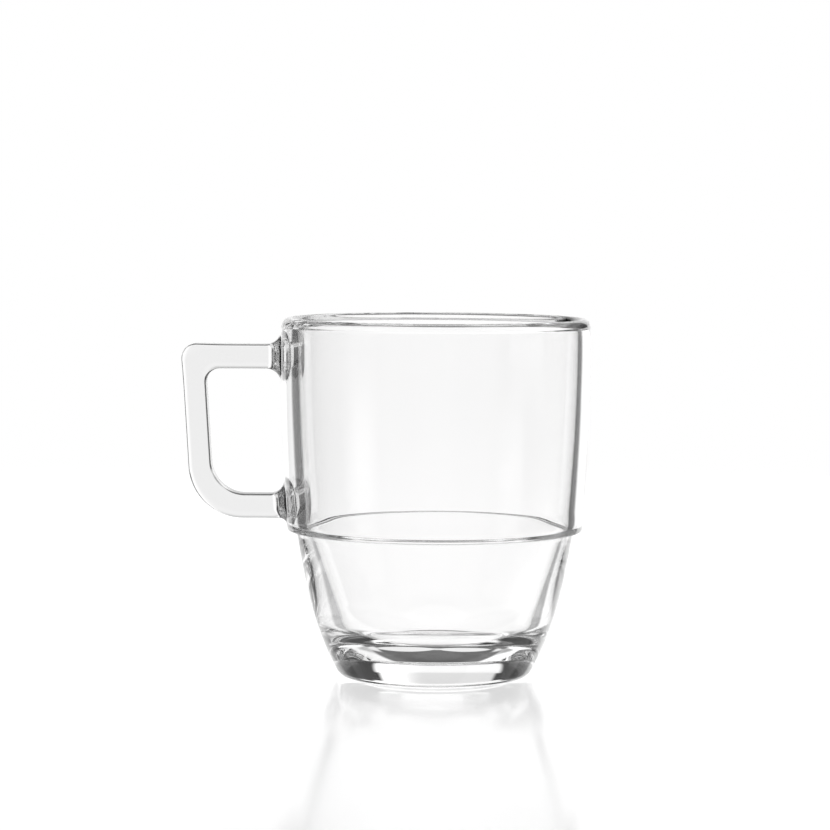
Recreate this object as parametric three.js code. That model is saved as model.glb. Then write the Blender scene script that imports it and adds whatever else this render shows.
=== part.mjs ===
// Stacking coffee glass: a pressed clear-glass cup with a stacking shoulder, and a side handle
// whose two flared roots are joined hot to the upper wall. Millimetres, +Z up, handle towards -X.
import * as THREE from 'three';
import { mergeVertices } from 'three/addons/utils/BufferGeometryUtils.js';

// Cup, outside. A slope is the radius gained for each millimetre of height.
const cup_height = 93;
const rim_radius = 40.05;
const rim_slope = -0.01;
const shoulder_height = 38;
const shoulder_radius = 38.3;
const shoulder_slope = 0.083;
const shoulder_width = 2.25;
const shoulder_edge_rounding = 0.45;
const shoulder_cove_rounding = 0.5;
const waist_slope = 0.185;
const foot_radius = 24.5;
const foot_slope = 0.575;
const foot_rounding = 1.4;

// Underside: a bearing ring round a shallow push-up
const bearing_ring_width = 3.2;
const push_up_height = 0.5;

// Rim: fire-polished bead above a parting ledge left by the mould ring
const rim_bead_height = 2;
const rim_bead_depth_inside = 2.6;
const parting_ledge = 0.1;

// Cup, inside. Each wall is the glass left between the outside and the inside at that height.
// The plunger that pressed the inside stood a little off the cup's axis, away from the handle.
const plunger_offset = 0.7;
const rim_wall = 3.45;
const upper_wall_foot = 4.1;
const upper_wall_slope = 0.085;
const waist_wall = 2.9;
const inner_waist_slope = 0.24;
const bowl_height = 9;
const bowl_wall = 5.7;
const bowl_slope = 0.42;
const inner_step_rise = 0.8;
const inner_step_rounding = 0.7;
const inner_step_tilt = 0.25;
const inner_cove_height = 5.2;
const inner_cove_tilt = 0.5;

// Floor: its fillet starts high up on the wall and reaches far in, as in a bowl.
const floor_thickness = 6.8;
const floor_fillet = 8.6;
const floor_reach = 12;

// Handle. Its outline is a rounded rectangle with a tight, slightly swollen upper corner and a wide
// lower one. Its section is a rectangle whose corners are rounder the lower the squareness.
const handle_drop = 6.9;
const lower_bar_rise = 3;
const handle_reach = 65.9;
const handle_lean = 2.8;
const bar_thickness = 6.35;
const grip_thickness = 6;
const handle_depth = 8.4;
const squareness = 4;
const upper_corner_outer = 4.1;
const upper_corner_inner = 3.6;
const corner_swell = 0.35;
const corner_swell_reach = 6;
const lower_corner_outer = 14.2;
const lower_corner_inner = 8.8;
const root_flare = 3.9;
const root_flare_under = 1.9;
const root_lead = 1;
const weld_gap = 0.3;

// Fineness of the facets
const cup_segments = 64;
const handle_segments = 24;
const wall_steps = 8;
const curve_steps = 6;
const fillet_steps = 10;
const rounding_steps = 4;
const bend_steps = 12;
const straight_steps = 4;

// How far the cove inside follows the wall down and the step out before it turns, as shares
const cove_along_wall = 0.6;
const cove_along_step = 0.75;

const point = (r, z) => new THREE.Vector2(r, z);
const mix = (a, b, t) => a + (b - a) * t;

// Radius as a smooth cubic of height, from its value and slope at both ends.
function wall_curve(low, low_radius, low_slope, high, high_radius, high_slope) {
  const span = high - low;
  return (z) => {
    const t = (z - low) / span;
    const rise = t * t * (3 - 2 * t);
    const start = t * (1 - t) * (1 - t) * low_slope;
    const end = t * t * (t - 1) * high_slope;
    return mix(low_radius, high_radius, rise) + span * (start + end);
  };
}

// Rounded corner from one point to another, drawn towards the corner between them.
function rounded(from, corner, to, steps = rounding_steps) {
  const curve = new THREE.QuadraticBezierCurve(from, corner, to);
  return curve.getPoints(steps);
}

// Points of a wall between two heights, both ends included.
function wall_points(wall, from, to) {
  const points = [];
  for (let i = 0; i <= wall_steps; i += 1) {
    const z = mix(from, to, i / wall_steps);
    points.push(point(wall(z), z));
  }
  return points;
}

const parting_height = cup_height - rim_bead_height;
const waist_radius = shoulder_radius - shoulder_width;
const upper_wall = wall_curve(
  shoulder_height, shoulder_radius, shoulder_slope,
  parting_height, rim_radius, rim_slope,
);
const lower_wall = wall_curve(
  0, foot_radius, foot_slope,
  shoulder_height, waist_radius, waist_slope,
);

function underside_points() {
  const ring_outer = foot_radius - foot_rounding;
  const ring_inner = ring_outer - bearing_ring_width;
  const points = [];
  for (let i = 0; i <= rounding_steps; i += 1) {
    const share = i / rounding_steps;
    points.push(point(ring_inner * share, push_up_height * (1 - share * share)));
  }
  return points;
}

function outside_points() {
  const ring_outer = point(foot_radius - foot_rounding, 0);
  const foot_top = point(lower_wall(foot_rounding), foot_rounding);
  const foot = rounded(ring_outer, point(foot_radius, 0), foot_top);
  const cove_low = shoulder_height - shoulder_cove_rounding;
  const lower = wall_points(lower_wall, foot_rounding, cove_low);
  const cove_corner = point(waist_radius, shoulder_height);
  const cove_end = point(waist_radius + shoulder_cove_rounding, shoulder_height);
  const cove = rounded(lower[lower.length - 1], cove_corner, cove_end);
  const edge_start = point(shoulder_radius - shoulder_edge_rounding, shoulder_height);
  const edge_top = shoulder_height + shoulder_edge_rounding;
  const edge_end = point(upper_wall(edge_top), edge_top);
  const edge = rounded(edge_start, point(shoulder_radius, shoulder_height), edge_end);
  const upper = wall_points(upper_wall, edge_top, parting_height);
  return [...foot, ...lower.slice(1), ...cove.slice(1), ...edge, ...upper.slice(1)];
}

// The bead is two quarter ellipses, a steeper one outside and a longer one inside.
function rim_points() {
  const mouth_radius = rim_radius - rim_wall;
  const crown_radius = rim_radius - parting_ledge - (rim_wall - parting_ledge) / 2;
  const outer_half = rim_radius - parting_ledge - crown_radius;
  const inner_half = crown_radius - mouth_radius;
  const points = [];
  for (let i = 0; i <= curve_steps; i += 1) {
    const turn = (i / curve_steps) * Math.PI / 2;
    const r = crown_radius + outer_half * Math.cos(turn);
    points.push(point(r, parting_height + rim_bead_height * Math.sin(turn)));
  }
  for (let i = 1; i <= curve_steps; i += 1) {
    const turn = (i / curve_steps) * Math.PI / 2;
    const r = crown_radius - inner_half * Math.sin(turn);
    points.push(point(r, cup_height - rim_bead_depth_inside * (1 - Math.cos(turn))));
  }
  return points;
}

// Upper wall, cove, rounded step, lower wall, fillet and floor.
function inside_points() {
  const mouth_height = cup_height - rim_bead_depth_inside;
  const step_height = shoulder_height + inner_step_rise;
  const cove_top = step_height + inner_cove_height;
  const cove_radius = upper_wall(cove_top) - upper_wall_foot;
  const inner_upper = wall_curve(
    cove_top, cove_radius, upper_wall_slope,
    mouth_height, rim_radius - rim_wall, 0,
  );
  const step_radius = waist_radius - waist_wall;
  const inner_lower = wall_curve(
    bowl_height, lower_wall(bowl_height) - bowl_wall, bowl_slope,
    step_height, step_radius, inner_waist_slope,
  );
  const upper = wall_points(inner_upper, mouth_height, cove_top);
  const ledge_start = point(
    step_radius + inner_step_rounding,
    step_height + inner_step_rounding * inner_step_tilt,
  );
  const wall_pull = inner_cove_height * cove_along_wall;
  const ledge_pull = (cove_radius - ledge_start.x) * cove_along_step;
  const cove = new THREE.CubicBezierCurve(
    point(cove_radius, cove_top),
    point(cove_radius - upper_wall_slope * wall_pull, cove_top - wall_pull),
    point(ledge_start.x + ledge_pull, ledge_start.y + ledge_pull * inner_cove_tilt),
    ledge_start,
  ).getPoints(curve_steps);
  const lip_low = step_height - inner_step_rounding;
  const lip_end = point(inner_lower(lip_low), lip_low);
  const lip = rounded(ledge_start, point(step_radius, step_height), lip_end);
  const fillet_top = floor_thickness + floor_fillet;
  const lower = wall_points(inner_lower, lip_low, fillet_top);
  const [before, fillet_start] = lower.slice(-2);
  const lean = (before.x - fillet_start.x) / (before.y - fillet_start.y);
  const corner = point(fillet_start.x - lean * floor_fillet, floor_thickness);
  const floor_edge = point(corner.x - floor_reach, floor_thickness);
  const fillet = rounded(fillet_start, corner, floor_edge, fillet_steps);
  return [
    ...upper.slice(1), ...cove.slice(1), ...lip.slice(1), ...lower.slice(1), ...fillet.slice(1),
    point(0, floor_thickness),
  ];
}

// The cup is one closed outline turned about its axis. The inside is then set off to the plunger's
// place, and the bead leads over from the outside to the inside.
function cup_geometry() {
  const outside = [...underside_points(), ...outside_points()];
  const bead = rim_points();
  const outline = [...outside, ...bead, ...inside_points()];
  const geometry = new THREE.LatheGeometry(outline, cup_segments);
  geometry.rotateX(Math.PI / 2);
  const places = geometry.getAttribute('position');
  for (let i = 0; i < places.count; i += 1) {
    const past_outside = (i % outline.length) - outside.length;
    const pressed = THREE.MathUtils.clamp(past_outside / (bead.length - 1), 0, 1);
    places.setX(i, places.getX(i) + plunger_offset * pressed);
  }
  return geometry;
}

// Where the outline turns a corner: the middle of its arc, its radius and the directions at both ends.
function corner_arc(before, corner, after, radius) {
  const into = corner.clone().sub(before).normalize();
  const out = after.clone().sub(corner).normalize();
  const turn = Math.acos(into.dot(out));
  const reach = radius * Math.tan(turn / 2);
  const start = corner.clone().addScaledVector(into, -reach);
  const side = Math.sign(into.x * out.y - into.y * out.x);
  const middle = start.clone().add(point(-into.y, into.x).multiplyScalar(side * radius));
  const spoke = start.clone().sub(middle);
  return (t) => {
    const angle = side * turn * t;
    const x = spoke.x * Math.cos(angle) - spoke.y * Math.sin(angle);
    const z = spoke.x * Math.sin(angle) + spoke.y * Math.cos(angle);
    return point(middle.x + x, middle.y + z);
  };
}

// One edge of the handle's outline, from the upper root over both corners to the lower root.
function outline_edge(start, upper, lower, end, upper_radius, lower_radius) {
  const first = corner_arc(start, upper, lower, upper_radius);
  const second = corner_arc(upper, lower, end, lower_radius);
  const points = [];
  const straight = (a, b) => {
    for (let i = 1; i < straight_steps; i += 1) {
      points.push(a.clone().lerp(b, i / straight_steps));
    }
  };
  const bend = (arc) => {
    for (let i = 0; i <= bend_steps; i += 1) {
      points.push(arc(i / bend_steps));
    }
  };
  points.push(start);
  straight(start, first(0));
  bend(first);
  straight(first(1), second(0));
  bend(second);
  straight(second(1), end);
  points.push(end);
  return points;
}

const handle_top = cup_height - handle_drop;
const handle_bottom = shoulder_height + lower_bar_rise;
const upper_bar_middle = handle_top - bar_thickness / 2;
const lower_bar_middle = handle_bottom + bar_thickness / 2;
const bar_start = -(rim_radius + weld_gap + root_flare + root_lead);

// Distance from the axis plane x = 0 to the outside of the wall, grown by the weld gap.
function wall_face(y, z) {
  const radius = upper_wall(z) + weld_gap;
  return Math.sqrt(radius * radius - y * y);
}

// The bar's section from -1 to 1 both ways: across and up, each to the power of the squareness,
// add up to 1. Turn 0 points up.
function bar_section(turn) {
  const up = Math.cos(turn);
  const across = Math.sin(turn);
  const sum = Math.abs(up) ** squareness + Math.abs(across) ** squareness;
  return point(across, up).multiplyScalar(sum ** (-1 / squareness));
}

// Rings of one flared root, from the bar to the wall, then over the end face to its middle.
function root_rings(middle, flare_under) {
  const rings = [];
  const half_height = bar_thickness / 2;
  const half_depth = handle_depth / 2;
  const slope = (share) => share * Math.abs(share) ** (squareness - 2);
  const place = (turn, flare, share) => {
    const { x: across, y: up } = bar_section(turn);
    const normal = point(slope(across) / half_depth, slope(up) / half_height).normalize();
    const under = Math.max(0, -Math.cos(turn)) ** 2;
    const radius = mix(root_flare, flare_under, under);
    const spread = radius * (1 - Math.cos(flare));
    const y = (across * half_depth + normal.x * spread) * share;
    const z = middle + (up * half_height + normal.y * spread) * share;
    const stand_off = radius * (1 - Math.sin(flare));
    return new THREE.Vector3(-(wall_face(y, z) + stand_off), y, z);
  };
  for (let i = 0; i <= curve_steps; i += 1) {
    const flare = (i / curve_steps) * Math.PI / 2;
    rings.push((turn) => place(turn, flare, 1));
  }
  for (let i = 1; i < rounding_steps; i += 1) {
    rings.push((turn) => place(turn, Math.PI / 2, 1 - i / rounding_steps));
  }
  return { rings, centre: place(0, Math.PI / 2, 0) };
}

// The handle is a loft: rings of the upper root, sections between the two edges of the outline,
// and rings of the lower root.
function handle_geometry() {
  const reach_low = handle_reach - handle_lean;
  const upper_corner = point(-handle_reach, handle_top);
  const outer = outline_edge(
    point(bar_start, handle_top),
    upper_corner,
    point(-reach_low, handle_bottom),
    point(bar_start, handle_bottom),
    upper_corner_outer, lower_corner_outer,
  );
  const lean = handle_lean / (handle_top - handle_bottom);
  const inner_top = handle_top - bar_thickness;
  const inner_bottom = handle_bottom + bar_thickness;
  const inner = outline_edge(
    point(bar_start, inner_top),
    point(-handle_reach + lean * bar_thickness + grip_thickness, inner_top),
    point(-reach_low - lean * bar_thickness + grip_thickness, inner_bottom),
    point(bar_start, inner_bottom),
    upper_corner_inner, lower_corner_inner,
  );
  const sections = outer.map((edge, i) => {
    const away = edge.distanceTo(upper_corner) / corner_swell_reach;
    const outwards = edge.clone().sub(inner[i]).normalize();
    const swollen = edge.clone().addScaledVector(outwards, corner_swell * Math.exp(-away * away));
    const middle = swollen.clone().lerp(inner[i], 0.5);
    const half = swollen.sub(middle);
    return (turn) => {
      const { x: across, y: up } = bar_section(turn);
      const place = middle.clone().addScaledVector(half, up);
      return new THREE.Vector3(place.x, across * handle_depth / 2, place.y);
    };
  });
  const upper_root = root_rings(upper_bar_middle, root_flare);
  const lower_root = root_rings(lower_bar_middle, root_flare_under);
  const flipped = lower_root.rings.map((ring) => (turn) => ring(Math.PI - turn));
  const rings = [...upper_root.rings.reverse(), ...sections, ...flipped];
  const positions = [];
  for (const ring of rings) {
    for (let j = 0; j < handle_segments; j += 1) {
      positions.push(...ring((j / handle_segments) * Math.PI * 2).toArray());
    }
  }
  const first = positions.length / 3;
  positions.push(...upper_root.centre.toArray(), ...lower_root.centre.toArray());
  const faces = [];
  const at = (i, j) => i * handle_segments + (j % handle_segments);
  const last = rings.length - 1;
  for (let j = 0; j < handle_segments; j += 1) {
    faces.push(first, at(0, j + 1), at(0, j));
    for (let i = 0; i < last; i += 1) {
      faces.push(at(i, j), at(i, j + 1), at(i + 1, j));
      faces.push(at(i, j + 1), at(i + 1, j + 1), at(i + 1, j));
    }
    faces.push(at(last, j), at(last, j + 1), first + 1);
  }
  const geometry = new THREE.BufferGeometry();
  geometry.setAttribute('position', new THREE.Float32BufferAttribute(positions, 3));
  geometry.setIndex(faces);
  return geometry;
}

// Welds the seam and the poles, drops the triangles that have no area and turns faces outwards.
function solid(geometry) {
  geometry.deleteAttribute('normal');
  geometry.deleteAttribute('uv');
  const welded = mergeVertices(geometry, 1e-4);
  const corners = welded.getAttribute('position');
  const kept = [];
  const source = Array.from(welded.getIndex().array);
  let volume = 0;
  for (let i = 0; i < source.length; i += 3) {
    const [a, b, c] = source.slice(i, i + 3);
    if (a !== b && b !== c && c !== a) {
      const p = new THREE.Vector3().fromBufferAttribute(corners, a);
      const q = new THREE.Vector3().fromBufferAttribute(corners, b);
      const s = new THREE.Vector3().fromBufferAttribute(corners, c);
      volume += p.dot(q.cross(s)) / 6;
      kept.push(a, b, c);
    }
  }
  if (volume < 0) {
    kept.reverse();
  }
  welded.setIndex(kept);
  welded.computeVertexNormals();
  return welded;
}

function clear_glass() {
  return new THREE.MeshStandardMaterial({ color: 0xeef2f1, roughness: 0.04, metalness: 0 });
}

const cup = new THREE.Mesh(solid(cup_geometry()), clear_glass());
cup.name = 'cup_body';
const handle = new THREE.Mesh(solid(handle_geometry()), clear_glass());
handle.name = 'handle';

// The middle of the outline, handle included, stands over the origin.
const group = new THREE.Group();
group.add(cup, handle);
const box = new THREE.Box3().setFromObject(group);
const shift = -(box.min.x + box.max.x) / 2;
cup.geometry.translate(shift, 0, 0);
handle.geometry.translate(shift, 0, 0);

export default group;
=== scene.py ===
import collections
import math

import bpy
import numpy as np
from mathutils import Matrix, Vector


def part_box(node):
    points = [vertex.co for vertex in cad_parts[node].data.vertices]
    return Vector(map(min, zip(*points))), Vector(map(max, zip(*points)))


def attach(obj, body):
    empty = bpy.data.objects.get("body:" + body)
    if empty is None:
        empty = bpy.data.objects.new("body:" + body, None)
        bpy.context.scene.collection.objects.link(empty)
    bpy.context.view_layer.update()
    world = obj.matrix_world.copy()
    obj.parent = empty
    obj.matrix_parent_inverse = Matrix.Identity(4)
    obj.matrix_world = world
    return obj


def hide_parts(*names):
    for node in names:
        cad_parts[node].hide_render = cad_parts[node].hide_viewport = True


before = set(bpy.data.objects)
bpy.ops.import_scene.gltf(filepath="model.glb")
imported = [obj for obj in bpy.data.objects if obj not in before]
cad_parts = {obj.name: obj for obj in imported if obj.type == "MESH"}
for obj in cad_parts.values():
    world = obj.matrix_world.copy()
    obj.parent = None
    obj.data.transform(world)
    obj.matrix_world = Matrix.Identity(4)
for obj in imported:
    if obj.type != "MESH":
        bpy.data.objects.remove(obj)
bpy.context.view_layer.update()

scene = bpy.context.scene
MM = 0.001
TURN = 2 * math.pi
WHITE = (1, 1, 1, 1)

# Sizes of the cup in millimetres, from its axis and from the table it stands on.
# A slope is the change of radius with height.
cup_low, cup_high = (np.array(corner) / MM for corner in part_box("cup_body"))
AXIS_X = (cup_low[0] + cup_high[0]) / 2
CUP_HEIGHT = cup_high[2]
RIM_RADIUS, RIM_SLOPE = 40.05, -0.01
SHOULDER_HEIGHT, SHOULDER_RADIUS, SHOULDER_SLOPE = 38.0, 38.3, 0.083
SHOULDER_WIDTH, SHOULDER_EDGE, SHOULDER_COVE = 2.25, 0.45, 0.5
WAIST_RADIUS, WAIST_SLOPE = SHOULDER_RADIUS - SHOULDER_WIDTH, 0.185
FOOT_RADIUS, FOOT_SLOPE, FOOT_ROUNDING = 24.5, 0.575, 1.7
RING_WIDTH, PUSH_UP = 2.9, 0.5
BEAD_HEIGHT, BEAD_INSIDE, PARTING_LEDGE = 2.0, 2.6, 0.1
PARTING_HEIGHT = CUP_HEIGHT - BEAD_HEIGHT

# Sizes of the cup's inside.
RIM_WALL, UPPER_WALL_FOOT, UPPER_WALL_SLOPE = 3.7, 4.35, 0.085
WAIST_WALL, INNER_WAIST_SLOPE = 2.9, 0.24
STEP_RISE, STEP_ROUNDING, STEP_TILT = 0.8, 0.7, 0.25
COVE_HEIGHT, COVE_TILT, COVE_ALONG_WALL, COVE_ALONG_STEP = 5.2, 0.5, 0.6, 0.75
BOWL_HEIGHT, BOWL_WALL, BOWL_SLOPE = 9.0, 5.7, 0.42
FLOOR_THICKNESS, FLOOR_FILLET = 6.8, 8.6
FILLET_TOP = FLOOR_THICKNESS + FLOOR_FILLET
FLOOR_EDGE_RADIUS, FLOOR_EDGE_RISE, FLOOR_EDGE_SLOPE = 18.0, 0.7, 0.6
PLUNGER_OFFSET = 0.45

# Sizes of the handle.
BELOW_RIM, ABOVE_SHOULDER = 6.9, 3.0
HANDLE_TOP = CUP_HEIGHT - BELOW_RIM
HANDLE_BOTTOM = SHOULDER_HEIGHT + ABOVE_SHOULDER
HANDLE_REACH, HANDLE_LEAN = 65.9, 2.8
BAR_THICKNESS, GRIP_THICKNESS, HANDLE_DEPTH = 6.35, 6.0, 8.4
SQUARENESS = 5.5
UPPER_OUTER, UPPER_INNER = 4.1, 3.6
CORNER_SWELL, SWELL_REACH = 0.35, 6.0
LOWER_OUTER, LOWER_INNER = 14.2, 8.8
ROOT_FLARE, ROOT_FLARE_UNDER, ROOT_LEAD = 3.9, 1.9, 1.2
UPPER_MIDDLE = HANDLE_TOP - BAR_THICKNESS / 2
LOWER_MIDDLE = HANDLE_BOTTOM + BAR_THICKNESS / 2

# Fineness of the meshes: columns round the cup, and steps along each stretch of an outline.
CUP_COLUMNS = 320
DOME_STEPS, RING_STEPS, FOOT_STEPS = 18, 4, 8
LOWER_WALL_STEPS, SHOULDER_COVE_STEPS, SHOULDER_EDGE_STEPS = 36, 6, 8
BEAD_STEPS = 18
INNER_UPPER_STEPS, COVE_STEPS, LIP_STEPS = 20, 14, 8
INNER_LOWER_STEPS, FILLET_STEPS, FLOOR_STEPS = 24, 30, 18
BAR_STEPS, UPPER_ARC_STEPS, GRIP_STEPS, LOWER_ARC_STEPS = 19, 36, 29, 48
FLARE_STEPS = 16

# A seam is where a root of the handle meets the cup: a block of the cup's grid that is pressed
# into the root's rounded outline. Its near end points to the rim or to the shoulder, and the
# middle rows lie between the two seams.
SEAM_COLUMNS, SEAM_NEAR, SEAM_FAR = 10, 8, 12
SEAM_MARGIN, SEAM_NEAR_MARGIN = 6, 2
MIDDLE_ROWS = 28
Block = collections.namedtuple("Block", "rows columns share turn through")
Root = collections.namedtuple(
    "Root", "middle flare_under rows_below rows_above margin_below margin_above"
)
UPPER_ROOT = Root(UPPER_MIDDLE, ROOT_FLARE, SEAM_FAR, SEAM_NEAR, SEAM_MARGIN, SEAM_NEAR_MARGIN)
LOWER_ROOT = Root(
    LOWER_MIDDLE, ROOT_FLARE_UNDER, SEAM_NEAR, SEAM_FAR, SEAM_NEAR_MARGIN, SEAM_MARGIN
)
ROOTS = (UPPER_ROOT, LOWER_ROOT)

# Material numbers of a piece's faces.
CLEAR, FUSED = 0, 1

# Glass: its index of refraction, its tones, and its waves and polish. Scales are per metre, and
# the waves' depth is in metres.
GLASS_IOR = 1.52
# The cup's tone is the glass's own faint tint. The handle's lower tone is painted shade: it
# darkens the handle's glass to stand in for the grey shading of its bars.
CUP_TONE, HANDLE_PAINTED_SHADE_TONE, TONE_WARMTH = 0.993, 0.85, 0.001
CUP_WAVE_SCALE, HANDLE_WAVE_SCALE, WAVE_DEPTH = 60.0, 90.0, 0.00002
WAVE_DETAIL, WAVE_ROUGHNESS = 1.0, 0.4
POLISH_SCALE, POLISH_DETAIL = 220.0, 2.0
POLISH_FROM, POLISH_TO = 0.45, 0.75
SMOOTHEST, DULLEST = 0.0, 0.03

# Sheet that the glass stands on, in metres, with its distance below the glass.
SHEET_HALF_WIDTH, SHEET_GAP = 1.5, 0.00002
SHEET_FADE_FROM, SHEET_FADE_TO = 0.4, 0.65
SHEET_SHADE, SHEET_GLOW = 0.5, 0.62
SHEET_ROUGHNESS, SHEET_SPECULAR = 0.12, 0.3

# Light of the studio. Later cards stand before earlier ones.
BACKDROP_LEVEL, WALL_LEVEL = 1.0, 0.1
FULL_CIRCLE = 360
CARDS = (
    # turned from, turned to, height from, height to, softness, level
    (-180, 180, -95, -7, 3, 0.9),
    (-180, 180, 68, 95, 5, 1.0),
    (130, 230, -12, 40, 8, 0.35),
    (130, 230, -87, -52, 2, 0.3),
    (-34, 34, -48, 40, 4, 1.06),
    (9, 33, -44, 40, 6, 1.3),
    (-60, 10, 16, 44, 7, 0.8),
    (-50, 50, -88, -47, 2, 0.12),
    (-40, 40, -50, -38, 3, 0.16),
    (30, 57, -38, -20, 3, 0.45),
    (-57, -33, -38, -20, 4, 0.52),
    (34, 60, -15, 12, 3, 0.12),
    (-60, -33, -15, 12, 3, 0.15),
    (58, 110, -13, 12, 4, 0.15),
    (-110, -58, -13, 12, 4, 0.15),
    (94, 124, -5, 9, 3, 0.65),
    (25, 100, 1, 64, 2, 0.01),
    (-100, -29, 1, 64, 2, 0.01),
)

# The camera stands level with the photograph's: a long lens, a little above the rim.
CAMERA_DISTANCE, CAMERA_HEIGHT, CAMERA_ASIDE = 0.85, 0.127, -0.0056
CAMERA_TILT, CAMERA_ROLL = 3.986, -0.3
FOCAL_LENGTH, SENSOR_WIDTH = 142.4, 36.0
GLASS_BOUNCES, SEAM_BOUNCES = 64, 32


def ease(t):
    """Smooth rise from 0 to 1 with level ends: three times t squared, less twice t cubed."""
    return t * t * (3 - 2 * t)


def wall_curve(low, low_radius, low_slope, high, high_radius, high_slope):
    """Radius as a cubic of height that has the given values and slopes at both ends."""
    span = high - low

    def radius(z):
        t = (z - low) / span
        ends = t * (1 - t) ** 2 * low_slope + t * t * (t - 1) * high_slope
        return low_radius + (high_radius - low_radius) * ease(t) + span * ends

    return radius


upper_wall = wall_curve(
    SHOULDER_HEIGHT, SHOULDER_RADIUS, SHOULDER_SLOPE, PARTING_HEIGHT, RIM_RADIUS, RIM_SLOPE
)
lower_wall = wall_curve(0, FOOT_RADIUS, FOOT_SLOPE, SHOULDER_HEIGHT, WAIST_RADIUS, WAIST_SLOPE)


def bezier(*controls, steps):
    """Points of the Bezier curve over the given control points, both ends included.

    Neighbouring points are drawn together by t, again and again, until one point is left.
    """
    t = np.linspace(0, 1, steps + 1)[:, None]
    points = [np.array(control, float)[None, :] + 0 * t for control in controls]
    while len(points) > 1:
        points = [a + (b - a) * t for a, b in zip(points, points[1:])]
    return points[0]


def wall_points(wall, start, end, steps):
    """Points of a wall curve at even heights, both ends included."""
    z = np.linspace(start, end, steps + 1)
    return np.stack([wall(z), z], axis=1)


def underside():
    """Push-up as a shallow parabola over the radius, then the flat bearing ring."""
    ring_outer = FOOT_RADIUS - FOOT_ROUNDING
    ring_inner = ring_outer - RING_WIDTH
    share = np.linspace(0, 1, DOME_STEPS + 1)
    dome = np.stack([ring_inner * share, PUSH_UP * (1 - share**2)], axis=1)
    flat = np.linspace((ring_inner, 0), (ring_outer, 0), RING_STEPS + 1)
    return np.concatenate([dome, flat[1:]])


def rim_bead():
    """Two quarter ellipses that meet at the crown: the outer one starts at the parting ledge."""
    outer_radius = RIM_RADIUS - PARTING_LEDGE
    inner_radius = RIM_RADIUS - RIM_WALL
    crown = outer_radius - (RIM_WALL - PARTING_LEDGE) / 2
    t = np.linspace(0, math.pi / 2, BEAD_STEPS + 1)
    outer_r = crown + (outer_radius - crown) * np.cos(t)
    outer_z = PARTING_HEIGHT + BEAD_HEIGHT * np.sin(t)
    inner_r = crown - (crown - inner_radius) * np.sin(t)
    inner_z = CUP_HEIGHT - BEAD_INSIDE * (1 - np.cos(t))
    outer = np.stack([outer_r, outer_z], axis=1)
    inner = np.stack([inner_r, inner_z], axis=1)
    return np.concatenate([outer, inner[1:]])


def inside_floor(inner_wall):
    """Fillet from the inner wall down to a soft crease, then the dished floor to its middle.

    The fillet is a Bezier curve. Its middle control point lies where the wall's tangent meets
    the line that rises from the crease by the edge's slope. The floor is a parabola over the
    radius.
    """
    # the wall's slope at the fillet's top, taken over one millimetre
    lean = inner_wall(FILLET_TOP + 0.5) - inner_wall(FILLET_TOP - 0.5)
    start = (inner_wall(FILLET_TOP), FILLET_TOP)
    crease = np.array([FLOOR_EDGE_RADIUS, FLOOR_THICKNESS + FLOOR_EDGE_RISE])
    across, rise = start - crease
    to_corner = (across - lean * rise) / (1 - lean * FLOOR_EDGE_SLOPE)
    corner = crease + to_corner * np.array([1, FLOOR_EDGE_SLOPE])
    fillet = bezier(start, corner, crease, steps=FILLET_STEPS)
    share = 1 - np.linspace(0, 1, FLOOR_STEPS + 1) ** 2
    floor_z = FLOOR_THICKNESS + FLOOR_EDGE_RISE * share**2
    floor = np.stack([FLOOR_EDGE_RADIUS * share, floor_z], axis=1)
    return np.concatenate([fillet, floor[1:]])


def inside():
    """Upper wall, cove, small rounded step, lower wall, floor fillet, crease and dished floor."""
    mouth = CUP_HEIGHT - BEAD_INSIDE
    step_height = SHOULDER_HEIGHT + STEP_RISE
    step_radius = WAIST_RADIUS - WAIST_WALL
    cove_top = step_height + COVE_HEIGHT
    cove_radius = upper_wall(cove_top) - UPPER_WALL_FOOT
    bowl_radius = lower_wall(BOWL_HEIGHT) - BOWL_WALL
    inner_upper = wall_curve(
        cove_top, cove_radius, UPPER_WALL_SLOPE, mouth, RIM_RADIUS - RIM_WALL, 0
    )
    inner_lower = wall_curve(
        BOWL_HEIGHT, bowl_radius, BOWL_SLOPE, step_height, step_radius, INNER_WAIST_SLOPE
    )
    ledge = (step_radius + STEP_ROUNDING, step_height + STEP_ROUNDING * STEP_TILT)
    wall_pull = COVE_HEIGHT * COVE_ALONG_WALL
    ledge_pull = (cove_radius - ledge[0]) * COVE_ALONG_STEP
    cove = bezier(
        (cove_radius, cove_top),
        (cove_radius - UPPER_WALL_SLOPE * wall_pull, cove_top - wall_pull),
        (ledge[0] + ledge_pull, ledge[1] + ledge_pull * COVE_TILT),
        ledge,
        steps=COVE_STEPS,
    )
    lip_low = step_height - STEP_ROUNDING
    lip_end = (inner_lower(lip_low), lip_low)
    lip = bezier(ledge, (step_radius, step_height), lip_end, steps=LIP_STEPS)
    upper = wall_points(inner_upper, mouth, cove_top, INNER_UPPER_STEPS)
    lower = wall_points(inner_lower, lip_low, FILLET_TOP, INNER_LOWER_STEPS)
    floor = inside_floor(inner_lower)
    return np.concatenate([upper, cove[1:], lip[1:], lower[1:], floor[1:]])


def seam_heights(root):
    """Heights of a seam's lower edge, middle and upper edge on the cup's wall."""
    half = BAR_THICKNESS / 2
    return root.middle - half - root.flare_under, root.middle, root.middle + half + ROOT_FLARE


def wall_row_heights(low, high):
    """Rows of the upper wall, at even steps between the edges and middles of both seams."""
    stretches = (
        SEAM_NEAR_MARGIN, SEAM_NEAR, SEAM_FAR, MIDDLE_ROWS, SEAM_FAR, SEAM_NEAR, SEAM_NEAR_MARGIN,
    )
    rows = np.cumsum((0, *stretches))
    heights = (low, *seam_heights(LOWER_ROOT), *seam_heights(UPPER_ROOT), high)
    return np.interp(np.arange(rows[-1] + 1), rows, heights)


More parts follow.
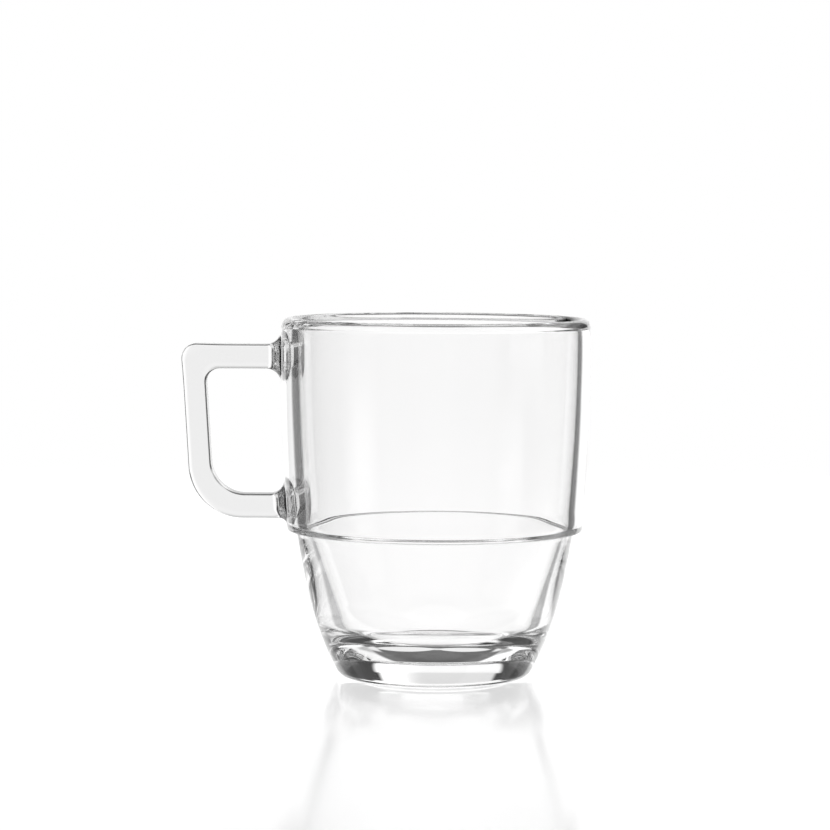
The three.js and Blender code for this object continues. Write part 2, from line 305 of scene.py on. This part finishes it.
def cup_outline():
    """The outline from the underside's middle over the rim to the floor's middle.

    Returns its points, and the first and the last of its rows on the upper outside wall.
    """
    foot = bezier(
        (FOOT_RADIUS - FOOT_ROUNDING, 0),
        (FOOT_RADIUS, 0),
        (lower_wall(FOOT_ROUNDING), FOOT_ROUNDING),
        steps=FOOT_STEPS,
    )
    cove_low = SHOULDER_HEIGHT - SHOULDER_COVE
    lower = wall_points(lower_wall, FOOT_ROUNDING, cove_low, LOWER_WALL_STEPS)
    cove = bezier(
        lower[-1],
        (WAIST_RADIUS, SHOULDER_HEIGHT),
        (WAIST_RADIUS + SHOULDER_COVE, SHOULDER_HEIGHT),
        steps=SHOULDER_COVE_STEPS,
    )
    edge_top = SHOULDER_HEIGHT + SHOULDER_EDGE
    edge = bezier(
        (SHOULDER_RADIUS - SHOULDER_EDGE, SHOULDER_HEIGHT),
        (SHOULDER_RADIUS, SHOULDER_HEIGHT),
        (upper_wall(edge_top), edge_top),
        steps=SHOULDER_EDGE_STEPS,
    )
    before = np.concatenate([underside(), foot[1:], lower[1:], cove[1:], edge[:-1]])
    z = wall_row_heights(edge_top, PARTING_HEIGHT)
    upper = np.stack([upper_wall(z), z], axis=1)
    outline = np.concatenate([before, upper, rim_bead(), inside()[1:]])
    return outline, len(before), len(before) + len(upper) - 1


def bar_section(turn):
    """A square with round corners: up and across, each to the power of squareness, add up to 1."""
    up, across = np.cos(turn), np.sin(turn)
    size = (abs(up) ** SQUARENESS + abs(across) ** SQUARENESS) ** (-1 / SQUARENESS)
    return up * size, across * size


def root_face(turn, flare, root, share=1.0):
    """Points of a flared root's skin: a quarter circle from the bar's section to the cup's wall.

    Turn 0 points up. The flare goes from 0 at the bar to 90 degrees at the wall: the section grows
    along its own normal by radius (1 - cos flare), and the skin stands off the wall by
    radius (1 - sin flare). The radius eases to the one on the underside from the bar's sides to
    its lower corners. The share draws the section together towards its middle.
    """
    half_depth, half_height = HANDLE_DEPTH / 2, BAR_THICKNESS / 2
    up, across = bar_section(turn)
    normal_y = across * abs(across) ** (SQUARENESS - 2) / half_depth
    normal_z = up * abs(up) ** (SQUARENESS - 2) / half_height
    length = np.hypot(normal_y, normal_z)
    under = np.minimum(1, 2 * np.maximum(0, -np.cos(turn)) ** 2)
    radius = ROOT_FLARE + (root.flare_under - ROOT_FLARE) * ease(under)
    spread = radius * (1 - np.cos(flare))
    y = (across * half_depth + normal_y / length * spread) * share
    z = root.middle + (up * half_height + normal_z / length * spread) * share
    wall = np.sqrt(upper_wall(z) ** 2 - y**2)
    return np.stack([-(wall + radius * (1 - np.sin(flare))), y, z], axis=-1)


def seam_block(below, above, margin=0, margin_below=0, margin_above=0):
    """A rectangle of grid nodes pressed into a disc, with a margin round it.

    Node (a, b) of the square goes to (a sqrt(1 - b b / 2), b sqrt(1 - a a / 2)) in the disc, and
    a node of the margin goes where the nearest node of the square goes.
    Returns row and column numbers, each node's share of the way out, its turn, and how far it is
    through the margin, from 0 in the block to 1 at the margin's end.
    """
    rows = np.arange(-below - margin_below, above + margin_above + 1)[:, None]
    columns = np.arange(-SEAM_COLUMNS - margin, SEAM_COLUMNS + margin + 1)[None, :]
    a = np.clip(-columns / SEAM_COLUMNS, -1, 1) + 0.0 * rows
    b = np.clip(np.where(rows < 0, rows / below, rows / above), -1, 1) + 0.0 * columns
    disc_a = a * np.sqrt(1 - b * b / 2)
    disc_b = b * np.sqrt(1 - a * a / 2)
    share, turn = np.hypot(disc_a, disc_b), np.arctan2(disc_a, disc_b)
    through_sides = (abs(columns) - SEAM_COLUMNS) / max(margin, 1)
    through_top = (rows - above) / max(margin_above, 1)
    through_bottom = (-rows - below) / max(margin_below, 1)
    through = np.maximum(through_sides, np.maximum(through_top, through_bottom))
    return Block(rows, columns, share, turn, np.clip(through, 0, 1))


def grid_faces(index, wrap):
    """Quads of a grid of vertex numbers, closed round its columns where wrap is true."""
    after = np.roll(index, -1, axis=1)
    if not wrap:
        index, after = index[:, :-1], after[:, :-1]
    corners = [index[:-1], after[:-1], after[1:], index[1:]]
    return np.stack(corners, axis=-1).reshape(-1, 4)


def cup_grid(outline, first, last):
    """Azimuth, height and radius of the cup's grid nodes, and its cells' material numbers.

    The nodes stand in even columns, but round the two seams they are drawn to the seams' edges.
    """
    handle_column = CUP_COLUMNS // 2
    azimuth = np.tile(TURN * np.arange(CUP_COLUMNS) / CUP_COLUMNS, (len(outline), 1))
    height = np.tile(outline[:, 1:], (1, CUP_COLUMNS))
    radius = np.tile(outline[:, :1], (1, CUP_COLUMNS))
    kinds = np.full(azimuth.shape, CLEAR)
    for root in ROOTS:
        block = seam_block(
            root.rows_below, root.rows_above, SEAM_MARGIN, root.margin_below, root.margin_above
        )
        seam = root_face(block.turn, math.pi / 2, root, block.share)
        seam_azimuth = math.pi - np.arctan2(seam[..., 1], -seam[..., 0])
        seam_height = seam[..., 2]
        blend = ease(block.through)
        centre = first + abs(outline[first:last, 1] - root.middle).argmin()
        at = (centre + block.rows, handle_column + block.columns)
        azimuth[at] = seam_azimuth + (azimuth[at] - seam_azimuth) * blend
        height[at] = seam_height + (height[at] - seam_height) * blend
        radius[at] = upper_wall(height[at])
        cell_rows = centre + np.arange(-root.rows_below, root.rows_above)[:, None]
        cell_columns = handle_column + np.arange(-SEAM_COLUMNS, SEAM_COLUMNS)[None, :]
        kinds[cell_rows, cell_columns] = FUSED
    return azimuth, height, radius, kinds


def cup_glass():
    """The outline turned about the axis, with the grid drawn to the seams of both roots.

    The inside is set off sideways, and the offset grows over the rim's bead.
    Returns vertices, normals, quads, triangles and the quads' material numbers.
    """
    outline, first, last = cup_outline()
    azimuth, height, radius, kinds = cup_grid(outline, first, last)
    count = len(outline)
    bead_start = last + 1
    bead_end = bead_start + len(rim_bead())
    set_off = np.zeros((count, 1))
    set_off[bead_start:bead_end, 0] = np.linspace(0, 1, bead_end - bead_start)
    set_off[bead_end:] = 1
    x = AXIS_X + PLUNGER_OFFSET * set_off + radius * np.cos(azimuth)
    y = radius * np.sin(azimuth)
    vertices = np.stack([x, y, height], axis=-1)

    along = np.concatenate([[0], np.cumsum(np.hypot(*np.diff(outline, axis=0).T))])
    tangent = np.gradient(outline, along, axis=0)
    tangent /= np.linalg.norm(tangent, axis=1, keepdims=True)
    outwards = tangent[:, 1:]
    upwards = np.tile(-tangent[:, :1], (1, CUP_COLUMNS))
    normals = np.stack(
        [outwards * np.cos(azimuth), outwards * np.sin(azimuth), upwards], axis=-1
    )

    index = np.arange((count - 2) * CUP_COLUMNS).reshape(count - 2, CUP_COLUMNS)
    low, top = index[0], index[-1]
    low_pole = np.full(CUP_COLUMNS, index.size)
    top_pole = low_pole + 1
    triangles = np.concatenate([
        np.stack([low_pole, np.roll(low, -1), low], axis=-1),
        np.stack([top, np.roll(top, -1), top_pole], axis=-1),
    ])
    poles = np.array([[AXIS_X, 0, outline[0, 1]], [AXIS_X + PLUNGER_OFFSET, 0, outline[-1, 1]]])
    down_and_up = np.array([[0, 0, -1.0], [0, 0, 1.0]])
    return (
        np.concatenate([vertices[1:-1].reshape(-1, 3), poles]),
        np.concatenate([normals[1:-1].reshape(-1, 3), down_and_up]),
        grid_faces(index, True),
        triangles,
        kinds[1:-2].ravel(),
    )


def corner_arc(before, corner, after, radius, steps):
    """Points of the arc of that radius that rounds the corner between two straights."""
    into = (corner - before) / np.linalg.norm(corner - before)
    out = (after - corner) / np.linalg.norm(after - corner)
    turn = math.acos(into @ out)
    side = np.sign(into[0] * out[1] - into[1] * out[0])
    start = corner - into * radius * math.tan(turn / 2)
    left = np.array([-into[1], into[0]]) * side
    t = np.linspace(0, turn, steps + 1)[:, None]
    return start + radius * (left * (1 - np.cos(t)) + into * np.sin(t))


def outline_edge(points, upper_radius, lower_radius):
    """One edge of the handle's outline: straight, upper arc, straight, lower arc, straight."""
    start, upper, lower, end = (np.array(point, float) for point in points)
    upper_arc = corner_arc(start, upper, lower, upper_radius, UPPER_ARC_STEPS)
    lower_arc = corner_arc(upper, lower, end, lower_radius, LOWER_ARC_STEPS)
    return np.concatenate([
        np.linspace(start, upper_arc[0], BAR_STEPS + 1)[:-1],
        upper_arc,
        np.linspace(upper_arc[-1], lower_arc[0], GRIP_STEPS + 1)[1:-1],
        lower_arc,
        np.linspace(lower_arc[-1], end, BAR_STEPS + 1)[1:],
    ])


def handle_edges():
    """The outer and the inner edge of the handle's outline.

    The upper outer corner is swollen: it moves out by the swell times exp(-d d), where d is the
    distance from the corner over the swell's reach.
    """
    bar_start = -(RIM_RADIUS + ROOT_FLARE + ROOT_LEAD)
    reach_low = HANDLE_REACH - HANDLE_LEAN
    lean = HANDLE_LEAN / (HANDLE_TOP - HANDLE_BOTTOM)
    inner_top, inner_bottom = HANDLE_TOP - BAR_THICKNESS, HANDLE_BOTTOM + BAR_THICKNESS
    grip_top = GRIP_THICKNESS + lean * BAR_THICKNESS
    grip_bottom = GRIP_THICKNESS - lean * BAR_THICKNESS
    corner = (-HANDLE_REACH, HANDLE_TOP)
    outer = outline_edge(
        [
            (bar_start, HANDLE_TOP),
            corner,
            (-reach_low, HANDLE_BOTTOM),
            (bar_start, HANDLE_BOTTOM),
        ],
        UPPER_OUTER,
        LOWER_OUTER,
    )
    inner = outline_edge(
        [
            (bar_start, inner_top),
            (grip_top - HANDLE_REACH, inner_top),
            (grip_bottom - reach_low, inner_bottom),
            (bar_start, inner_bottom),
        ],
        UPPER_INNER,
        LOWER_INNER,
    )
    away = np.linalg.norm(outer - corner, axis=1, keepdims=True) / SWELL_REACH
    outwards = (outer - inner) / np.linalg.norm(outer - inner, axis=1, keepdims=True)
    return outer + outwards * CORNER_SWELL * np.exp(-(away**2)), inner


def handle_skin(turns):
    """The handle's skin as a grid: upper root, sections between the two edges, lower root.

    The turns run the other way round at the lower root, where the bar has come about.
    """
    outer, inner = handle_edges()
    middle, half = (outer + inner) / 2, (outer - inner) / 2
    up, across = bar_section(turns)
    x = middle[:, :1] + half[:, :1] * up
    y = np.tile(across * HANDLE_DEPTH / 2, (len(half), 1))
    z = middle[:, 1:] + half[:, 1:] * up
    sections = np.stack([x, y, z], axis=-1)
    flare = np.linspace(0, math.pi / 2, FLARE_STEPS + 1)[:, None]
    upper_root = root_face(turns, flare, UPPER_ROOT)
    lower_root = root_face(math.pi - turns, flare, LOWER_ROOT)
    skin = np.concatenate([upper_root[::-1], sections, lower_root])
    skin[..., 0] += AXIS_X
    return skin


def handle_glass():
    """The handle's skin, closed at each end by a disc that lies on the cup's seam.

    Returns vertices, normals, quads, triangles and the quads' material numbers.
    """
    discs = [seam_block(root.rows_below, root.rows_above) for root in ROOTS]
    rims = [np.isclose(disc.share, 1) for disc in discs]
    skin = handle_skin(np.sort(discs[0].turn[rims[0]]))
    around = np.roll(skin, -1, axis=1) - np.roll(skin, 1, axis=1)
    normals = np.cross(around, np.gradient(skin, axis=0))
    normals /= np.linalg.norm(normals, axis=-1, keepdims=True)
    index = np.arange(skin[..., 0].size).reshape(skin.shape[:2])
    vertices, facing = [skin.reshape(-1, 3)], [normals.reshape(-1, 3)]
    faces = [grid_faces(index, True)]
    used = index.size
    for root, disc, rim, skin_end in zip(ROOTS, discs, rims, (index[0], index[-1])):
        skin_turn = disc.turn if root is UPPER_ROOT else math.pi - disc.turn % TURN
        order = np.argsort(np.argsort(skin_turn[rim]))
        number = np.zeros(rim.shape, int)
        number[rim] = skin_end[order]
        number[~rim] = used + np.arange((~rim).sum())
        within = root_face(disc.turn[~rim], math.pi / 2, root, disc.share[~rim])
        within[:, 0] += AXIS_X
        vertices.append(within)
        facing.append(np.tile([1.0, 0, 0], (len(within), 1)))
        faces.append(grid_faces(number, False)[:, ::-1])
        used += len(within)
    kinds = [np.full(len(quads), kind) for quads, kind in zip(faces, (CLEAR, FUSED, FUSED))]
    return (
        np.concatenate(vertices),
        np.concatenate(facing),
        np.concatenate(faces),
        np.zeros((0, 3), int),
        np.concatenate(kinds),
    )


def add_piece(name, surface, materials, node):
    """Puts a worked-out surface into a mesh, in metres, sets it under the root body, and hides the
    part of the node it stands for.
    """
    vertices, normals, quads, triangles, kinds = surface
    faces = quads.tolist() + triangles.tolist()
    mesh = bpy.data.meshes.new(name)
    mesh.from_pydata((vertices * MM).tolist(), [], faces, shade_flat=False)
    for material in materials:
        mesh.materials.append(material)
    all_kinds = np.append(kinds, np.full(len(triangles), CLEAR))
    mesh.polygons.foreach_set("material_index", all_kinds)
    mesh.normals_split_custom_set_from_vertices(normals.tolist())
    piece = bpy.data.objects.new(name, mesh)
    scene.collection.objects.link(piece)
    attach(piece, "root")
    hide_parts(node)


def add_node(tree, kind, values=None, **settings):
    """A node with its settings made and its sockets set to values or joined to other sockets."""
    made = tree.nodes.new(kind)
    for name, value in settings.items():
        setattr(made, name, value)
    for name, value in (values or {}).items():
        if isinstance(value, bpy.types.NodeSocket):
            tree.links.new(value, made.inputs[name])
        else:
            made.inputs[name].default_value = value
    return made


def add_range(tree, value, from_low, from_high, to_low, to_high, **settings):
    """Maps a value from one range to another."""
    values = {
        "Value": value,
        "From Min": from_low,
        "From Max": from_high,
        "To Min": to_low,
        "To Max": to_high,
    }
    return add_node(tree, "ShaderNodeMapRange", values, **settings).outputs["Result"]


def soft_step(tree, value, start, end):
    """Goes smoothly from 0 at start to 1 at end, whichever of the two is the smaller."""
    low, high = min(start, end), max(start, end)
    to_low, to_high = (0.0, 1.0) if start < end else (1.0, 0.0)
    return add_range(tree, value, low, high, to_low, to_high, interpolation_type="SMOOTHSTEP")


def add_group(name, inputs, outputs):
    """An empty shader group with named float sockets, and its input and output nodes."""
    group = bpy.data.node_groups.new(name, "ShaderNodeTree")
    for label, value in inputs.items():
        socket = group.interface.new_socket(label, in_out="INPUT", socket_type="NodeSocketFloat")
        socket.default_value = value
    for label in outputs:
        group.interface.new_socket(label, in_out="OUTPUT", socket_type="NodeSocketFloat")
    return group, group.nodes.new("NodeGroupInput"), group.nodes.new("NodeGroupOutput")


def pressed_skin():
    """Group: slow waves that the mould leaves in glass, and a faint change of polish."""
    defaults = {
        "Wave Scale": CUP_WAVE_SCALE,
        "Polish Scale": POLISH_SCALE,
        "Smooth": SMOOTHEST,
        "Dull": DULLEST,
    }
    group, given, out = add_group("pressed_skin", defaults, ("Height", "Roughness"))
    place = add_node(group, "ShaderNodeTexCoord").outputs["Object"]
    waves = add_node(
        group,
        "ShaderNodeTexNoise",
        {
            "Vector": place,
            "Scale": given.outputs["Wave Scale"],
            "Detail": WAVE_DETAIL,
            "Roughness": WAVE_ROUGHNESS,
        },
    )
    polish = add_node(
        group,
        "ShaderNodeTexNoise",
        {"Vector": place, "Scale": given.outputs["Polish Scale"], "Detail": POLISH_DETAIL},
    )
    roughness = add_range(
        group,
        polish.outputs["Fac"],
        POLISH_FROM,
        POLISH_TO,
        given.outputs["Smooth"],
        given.outputs["Dull"],
    )
    group.links.new(waves.outputs["Fac"], out.inputs["Height"])
    group.links.new(roughness, out.inputs["Roughness"])
    return group


def clear_glass(name, skin, tint_and_shade, wave_scale):
    """Pressed glass: plain transmission, with waves and polish from the shared group. A tone well
    under 1, as on the handle, is painted shade.
    """
    material = bpy.data.materials.new(name)
    material.use_nodes = True
    tree = material.node_tree
    glass = tree.nodes["Principled BSDF"]
    glass.inputs["Base Color"].default_value = (tint_and_shade + TONE_WARMTH, tint_and_shade, tint_and_shade, 1)
    glass.inputs["Transmission Weight"].default_value = 1.0
    glass.inputs["IOR"].default_value = GLASS_IOR
    surface = add_node(tree, "ShaderNodeGroup", node_tree=skin)
    surface.inputs["Wave Scale"].default_value = wave_scale
    bump = add_node(
        tree,
        "ShaderNodeBump",
        {"Height": surface.outputs["Height"], "Strength": 1.0, "Distance": WAVE_DEPTH},
    )
    tree.links.new(surface.outputs["Roughness"], glass.inputs["Roughness"])
    tree.links.new(bump.outputs["Normal"], glass.inputs["Normal"])
    return material


def fused_seam():
    """Where two masses of glass are joined hot no surface is left: light goes straight on."""
    material = bpy.data.materials.new("fused_seam")
    material.use_nodes = True
    material.node_tree.nodes["Principled BSDF"].inputs["Alpha"].default_value = 0.0
    return material


def studio_floor():
    """A pale, slightly glossy sheet that fades out to the backdrop at a distance."""
    mesh = bpy.data.meshes.new("floor")
    side = SHEET_HALF_WIDTH
    corners = [(-side, -side, 0), (side, -side, 0), (side, side, 0), (-side, side, 0)]
    mesh.from_pydata(corners, [], [(0, 1, 2, 3)])
    floor = bpy.data.objects.new("floor", mesh)
    scene.collection.objects.link(floor)
    floor.location = (0, 0, -SHEET_GAP)
    material = bpy.data.materials.new("floor_white")
    material.use_nodes = True
    tree = material.node_tree
    sheet = tree.nodes["Principled BSDF"]
    sheet.inputs["Base Color"].default_value = (SHEET_SHADE, SHEET_SHADE, SHEET_SHADE, 1)
    sheet.inputs["Roughness"].default_value = SHEET_ROUGHNESS
    sheet.inputs["Specular IOR Level"].default_value = SHEET_SPECULAR
    sheet.inputs["Emission Color"].default_value = WHITE
    sheet.inputs["Emission Strength"].default_value = SHEET_GLOW
    place = add_node(tree, "ShaderNodeTexCoord").outputs["Object"]
    away = add_node(tree, "ShaderNodeVectorMath", {0: place}, operation="LENGTH")
    fade = soft_step(tree, away.outputs["Value"], SHEET_FADE_TO, SHEET_FADE_FROM)
    tree.links.new(fade, sheet.inputs["Alpha"])
    mesh.materials.append(material)
    floor.visible_transmission = False
    floor.visible_glossy = False


def studio_light():
    """Light by direction: lit walls and a soft top, with cards set in front of them.

    Each card covers a range of directions: degrees turned to the right from the backdrop's middle
    and degrees above the horizon. Its edges are soft, and later cards stand before earlier ones.
    """
    world = bpy.data.worlds.new("studio")
    scene.world = world
    world.use_nodes = True
    tree = world.node_tree
    tree.nodes.clear()

    def math_node(operation, *values):
        sockets = dict(enumerate(values))
        return add_node(tree, "ShaderNodeMath", sockets, operation=operation).outputs[0]

    direction = add_node(tree, "ShaderNodeTexCoord").outputs["Generated"]
    parts = add_node(tree, "ShaderNodeSeparateXYZ", {0: direction})
    turned = math_node("DEGREES", math_node("ARCTAN2", parts.outputs["X"], parts.outputs["Y"]))
    height = math_node("DEGREES", math_node("ARCSINE", parts.outputs["Z"]))
    level = WALL_LEVEL
    for start, end, low, high, soft, card_level in CARDS:
        mask = soft_step(tree, height, low - soft, low + soft)
        mask = math_node("MULTIPLY", mask, soft_step(tree, height, high + soft, high - soft))
        if end - start < FULL_CIRCLE:
            half = (end - start) / 2
            from_middle = math_node("SUBTRACT", turned, (start + end) / 2)
            away = math_node("PINGPONG", from_middle, FULL_CIRCLE / 2)
            mask = math_node("MULTIPLY", mask, soft_step(tree, away, half + soft, half - soft))
        mixed = add_node(tree, "ShaderNodeMix", {"Factor": mask, "A": level, "B": card_level})
        level = mixed.outputs["Result"]
    light = add_node(tree, "ShaderNodeBackground", {"Color": WHITE, "Strength": level})
    seen = add_node(tree, "ShaderNodeBackground", {"Color": WHITE, "Strength": BACKDROP_LEVEL})
    direct = add_node(tree, "ShaderNodeLightPath").outputs["Is Camera Ray"]
    both = add_node(
        tree, "ShaderNodeMixShader", {0: direct, 1: light.outputs[0], 2: seen.outputs[0]}
    )
    add_node(tree, "ShaderNodeOutputWorld", {"Surface": both.outputs[0]})


def add_camera():
    """The camera, turned down by its tilt and about its view by its roll, both in degrees."""
    lens = bpy.data.cameras.new("camera")
    lens.lens = FOCAL_LENGTH
    lens.sensor_width = SENSOR_WIDTH
    camera = bpy.data.objects.new("camera", lens)
    scene.collection.objects.link(camera)
    camera.location = (AXIS_X * MM + CAMERA_ASIDE, -CAMERA_DISTANCE, CAMERA_HEIGHT)
    camera.rotation_euler = (math.radians(90 - CAMERA_TILT), math.radians(CAMERA_ROLL), 0)
    scene.camera = camera


skin_group = pressed_skin()
seam_finish = fused_seam()
cup_finish = clear_glass("cup_glass_clear", skin_group, CUP_TONE, CUP_WAVE_SCALE)
# The handle's glass gets a darker tone than the cup's: painted shade.
handle_shaded_glass = clear_glass("handle_glass_shaded", skin_group, HANDLE_PAINTED_SHADE_TONE, HANDLE_WAVE_SCALE)
add_piece("cup_glass", cup_glass(), [cup_finish, seam_finish], "cup_body")
add_piece("handle_glass", handle_glass(), [handle_shaded_glass, seam_finish], "handle")
studio_floor()
studio_light()
add_camera()

scene.view_settings.view_transform = "Standard"
scene.cycles.max_bounces = GLASS_BOUNCES
scene.cycles.transmission_bounces = GLASS_BOUNCES
scene.cycles.glossy_bounces = GLASS_BOUNCES
scene.cycles.transparent_max_bounces = SEAM_BOUNCES
